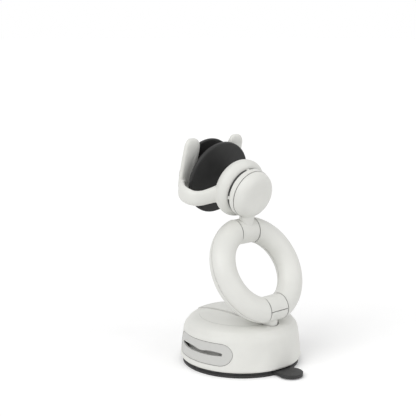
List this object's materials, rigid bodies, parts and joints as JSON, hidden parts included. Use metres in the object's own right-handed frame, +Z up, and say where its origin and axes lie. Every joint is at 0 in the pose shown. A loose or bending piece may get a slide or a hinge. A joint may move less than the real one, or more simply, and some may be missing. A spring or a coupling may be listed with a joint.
{
  "type": "car and desk mount for a collapsible grip",
  "caption": "Suction-cup mount with a locking lever, a ring-shaped hinged arm and a swivelling two-prong cradle that holds a collapsible grip by its neck.",
  "frame": {"origin": "middle of the suction cup's rim, on the surface that the mount sticks to", "axes": "+Z up, away from the surface; +Y to the back, where the pull tab and the lower hinge are; +X to the right of the grip seen from the back"},
  "size_m": [0.065, 0.0776, 0.1195],
  "materials": {
    "white_plastic": "satin off-white",
    "grey_plastic": "matte light grey",
    "black_plastic": "matte black",
    "black_rubber": "matte black",
    "steel": "plain zinc"
  },
  "bodies": {
    "base": {"suction_cup": "black_rubber", "base_plate": "white_plastic", "base_shell": "white_plastic", "base_screws": "steel", "cord_keeper_right": "grey_plastic", "cord_keeper_left": "grey_plastic", "cup_spring": "steel", "cam_plate": "steel", "hinge_foot": "white_plastic", "foot_screws": "steel", "knuckle_cap": "white_plastic"},
    "pull_rod": {"pull_rod": "steel", "cross_pin": "steel"},
    "lever": {"lever": "white_plastic"},
    "ring_arm": {"right_ring_front_shell": "white_plastic", "right_ring_rear_shell": "white_plastic", "left_ring_front_shell": "white_plastic", "left_ring_rear_shell": "white_plastic", "ring_screws": "steel", "hinge_sleeves": "steel", "hinge_bolts": "steel", "hinge_nuts": "steel", "friction_washers": "steel"},
    "head": {"head_housing": "white_plastic", "swivel_collar": "white_plastic", "detent_ring": "black_rubber", "swivel_screw": "steel", "swivel_washer": "steel", "wave_washer": "steel"},
    "cradle": {"cradle": "white_plastic", "grip_disc": "black_plastic", "grip_stem": "black_rubber", "grip_platform": "black_plastic", "grip_pad": "black_rubber"}
  },
  "joints": [
    {"name": "rod_slide", "type": "slide", "parent": "base", "child": "pull_rod", "axis": [0, 0, -1], "range_m": [0, 0.0018]},
    {"name": "lever_open", "type": "hinge", "parent": "pull_rod", "child": "lever", "pos_m": [0, 0, 0.0195], "axis": [-1, 0, 0], "range_deg": [0, 75]},
    {"name": "ring_lean", "type": "hinge", "parent": "base", "child": "ring_arm", "pos_m": [0, 0.0225, 0.0331], "axis": [1, 0, 0], "range_deg": [-45, 40]},
    {"name": "head_tilt", "type": "hinge", "parent": "ring_arm", "child": "head", "pos_m": [0, 0.00132, 0.0707], "axis": [1, 0, 0], "range_deg": [-80, 25]},
    {"name": "cradle_turn", "type": "hinge", "parent": "head", "child": "cradle", "pos_m": [0, -0.01681, 0.09771], "axis": [0, 0.9659, -0.2588], "continuous": true}
  ],
  "couplings": [
    {"joint": "rod_slide", "follows": "lever_open", "m_per_rad": 0.0013751}
  ]
}
